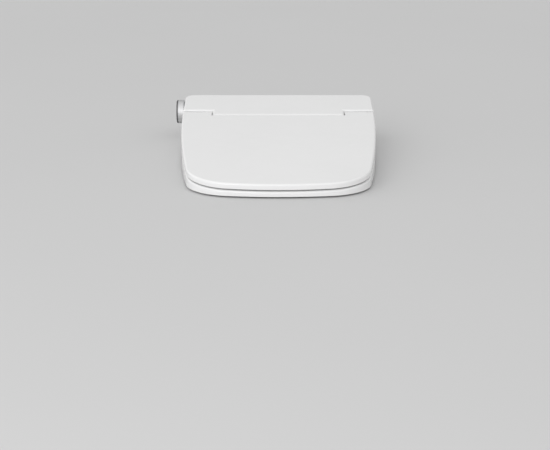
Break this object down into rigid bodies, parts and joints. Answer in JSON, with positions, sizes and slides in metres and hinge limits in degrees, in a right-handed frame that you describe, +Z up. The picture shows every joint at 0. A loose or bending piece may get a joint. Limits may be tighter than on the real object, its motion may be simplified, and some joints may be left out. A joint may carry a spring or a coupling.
{
  "type": "electric bidet seat",
  "caption": "Electric bidet seat with sloping lid and seat ring hinged on a low rear housing, a metal side knob and a telescopic wash wand.",
  "frame": {"origin": "midway between the two fixing holes, on the underside that rests on the pan", "axes": "+X to the right of someone facing the seat, -Y to its front, +Z up"},
  "size_m": [0.3849, 0.507, 0.0779],
  "materials": {
    "white_gloss": "smooth glossy white moulding",
    "white_satin": "satin white moulding",
    "grey_plastic": "grey technical plastic",
    "dark_plastic": "black moulding",
    "pale_plastic": "pale grey moulding",
    "rubber_grey": "soft grey rubber",
    "rubber_black": "black rubber",
    "hose_clear": "milky silicone",
    "knob_metal": "satin chrome",
    "steel": "stainless steel",
    "zinc_steel": "zinc plated",
    "brass": "turned brass",
    "copper_film": "heating film",
    "board_green": "circuit board"
  },
  "bodies": {
    "mount": {"mounting_plate": "zinc_steel", "fixing_adjusters": "dark_plastic"},
    "unit": {"base_tray": "white_satin", "rear_cover": "white_gloss", "wand_hood": "white_satin", "cover_screws": "zinc_steel", "base_pads": "rubber_grey", "soft_close_dampers": "dark_plastic", "inlet_fitting": "brass", "inlet_screen": "pale_plastic", "inlet_valve": "pale_plastic", "valve_coil": "dark_plastic", "water_heater": "pale_plastic", "heater_terminals": "brass", "water_pump": "dark_plastic", "pump_motor": "steel", "spray_diverter": "pale_plastic", "feed_tube": "steel", "valve_hose": "hose_clear", "heater_hose": "hose_clear", "pump_hose": "hose_clear", "wand_cradle": "grey_plastic", "wand_motor": "steel", "control_board": "board_green", "board_parts": "dark_plastic", "power_module": "dark_plastic", "cable_gland": "dark_plastic", "knob_bezel": "grey_plastic", "knob_encoder": "grey_plastic"},
    "seat": {"seat_top": "white_gloss", "seat_base": "white_satin", "seat_heater": "copper_film", "seat_bumpers": "rubber_grey", "seat_screws": "zinc_steel", "hinge_pin_seat": "steel"},
    "lid": {"lid_shell": "white_gloss", "lid_liner": "white_gloss", "lid_bumpers": "rubber_grey", "hinge_pin_lid": "steel"},
    "wand": {"wand_tube": "steel", "wand_tip": "pale_plastic", "wand_rack": "grey_plastic", "wand_seal": "rubber_black"},
    "pinion": {"wand_pinion": "brass"},
    "knob_plunger": {"knob_shaft": "steel"},
    "knob": {"knob_ring": "knob_metal", "knob_cap": "knob_metal"}
  },
  "joints": [
    {"name": "unit_slide", "type": "slide", "parent": "mount", "child": "unit", "axis": [0, -1, 0], "range_m": [0, 0.04]},
    {"name": "seat_hinge", "type": "hinge", "parent": "unit", "child": "seat", "pos_m": [0, -0.0535, 0.0528], "axis": [1, 0, 0], "range_deg": [-95, 0]},
    {"name": "lid_hinge", "type": "hinge", "parent": "seat", "child": "lid", "pos_m": [0, -0.0535, 0.0528], "axis": [-1, 0, 0], "range_deg": [0, 100]},
    {"name": "wand_slide", "type": "slide", "parent": "unit", "child": "wand", "axis": [0, -0.9613, -0.2757], "range_m": [0, 0.072]},
    {"name": "pinion_spin", "type": "hinge", "parent": "unit", "child": "pinion", "pos_m": [0, -0.05317, 0.01876], "axis": [1, 0, 0], "range_deg": [-10, 670]},
    {"name": "knob_press", "type": "slide", "parent": "unit", "child": "knob_plunger", "axis": [1, 0, 0], "range_m": [0, 0.0018], "stiffness_N_per_m": 600},
    {"name": "knob_turn", "type": "hinge", "parent": "knob_plunger", "child": "knob", "pos_m": [-0.19, 0.032, 0.04966], "axis": [1, 0, 0], "range_deg": [-45, 45]}
  ],
  "couplings": [
    {"joint": "pinion_spin", "follows": "wand_slide", "rad_per_m": 158.73}
  ]
}
